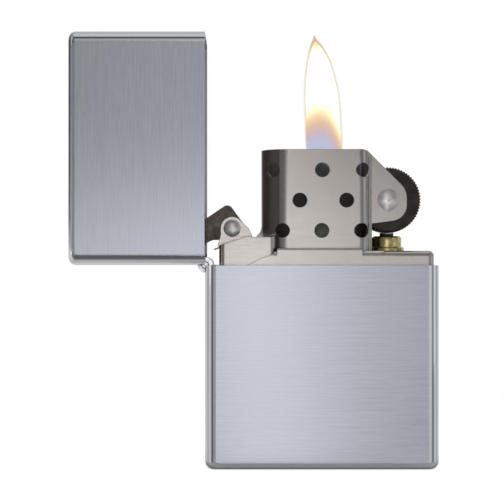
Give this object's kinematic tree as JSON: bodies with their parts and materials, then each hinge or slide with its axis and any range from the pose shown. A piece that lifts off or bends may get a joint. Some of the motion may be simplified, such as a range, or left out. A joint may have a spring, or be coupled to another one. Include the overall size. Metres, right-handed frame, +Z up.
{
  "type": "flip-top petrol lighter",
  "caption": "Flip-top windproof petrol lighter, lid open, with a lift-out insert carrying chimney, wick, flint wheel and cam.",
  "frame": {"origin": "centre of the case's flat bottom face", "axes": "+Z up along the case, -Y out of the front face, +X from the hinge side to the wheel side"},
  "size_m": [0.0608, 0.013, 0.0719],
  "materials": {
    "case_metal": "satin brushed chrome plate, polished on the rounded edges",
    "hinge_metal": "polished",
    "insert_steel": "plain rolled stainless sheet, satin",
    "rivet_steel": "satin, domed",
    "spring_steel": "dull",
    "cam_steel": "dull, brownish, oiled",
    "wheel_steel": "hardened, dark, toothed",
    "brass": "turned, slightly dull",
    "flint_alloy": "matt grey",
    "wick_cotton": "braided, charred at the tip",
    "cotton": "loose cotton",
    "felt": "pressed felt"
  },
  "bodies": {
    "case": {"case_shell": "case_metal", "case_hinge_leaf": "hinge_metal", "hinge_pin": "hinge_metal"},
    "lid": {"lid_shell": "case_metal", "lid_hinge_leaf": "hinge_metal"},
    "insert": {"fuel_can": "insert_steel", "wind_guard": "insert_steel", "wheel_rivet": "rivet_steel", "cam_rivet": "rivet_steel", "cam_spring": "spring_steel", "cam_spring_rivet": "rivet_steel", "flint_tube": "brass", "wick": "wick_cotton", "felt_pad": "felt", "cotton_ball_1": "cotton", "cotton_ball_2": "cotton", "cotton_ball_3": "cotton", "cotton_ball_4": "cotton", "cotton_ball_5": "cotton"},
    "cam": {"cam": "cam_steel"},
    "flint_wheel": {"flint_wheel": "wheel_steel"},
    "flint": {"flint": "flint_alloy", "flint_plunger": "brass"},
    "screw_carrier": {"flint_spring": "spring_steel"},
    "flint_screw": {"flint_screw": "brass"}
  },
  "joints": [
    {"name": "lid_hinge", "type": "hinge", "parent": "case", "child": "lid", "pos_m": [-0.0192, 0, 0.0335], "axis": [0, 1, 0], "range_deg": [0, 90]},
    {"name": "insert_slide", "type": "slide", "parent": "case", "child": "insert", "axis": [0, 0, -1], "range_m": [-0.0295, 0]},
    {"name": "wheel_spin", "type": "hinge", "parent": "insert", "child": "flint_wheel", "pos_m": [0.0111, 0, 0.0443], "axis": [0, 1, 0], "continuous": true},
    {"name": "cam_pivot", "type": "hinge", "parent": "insert", "child": "cam", "pos_m": [-0.0148, 0, 0.0396], "axis": [0, 1, 0], "range_deg": [0, 107.2]},
    {"name": "flint_feed", "type": "slide", "parent": "insert", "child": "flint", "axis": [0, 0, -1], "range_m": [0, 0.001], "stiffness_N_per_m": 120, "springref_m": -0.006, "deforming": ["flint_spring"]},
    {"name": "screw_turn", "type": "hinge", "parent": "screw_carrier", "child": "flint_screw", "pos_m": [0.0111, 0, 0.003], "axis": [0, 0, -1], "range_deg": [0, 720.5]},
    {"name": "screw_travel", "type": "slide", "parent": "insert", "child": "screw_carrier", "axis": [0, 0, -1], "range_m": [0, 0.001], "deforming": ["flint_spring"]}
  ],
  "couplings": [
    {"joint": "cam_pivot", "follows": "lid_hinge", "ratio": 1.19},
    {"joint": "screw_turn", "follows": "screw_travel", "rad_per_m": 12566}
  ]
}
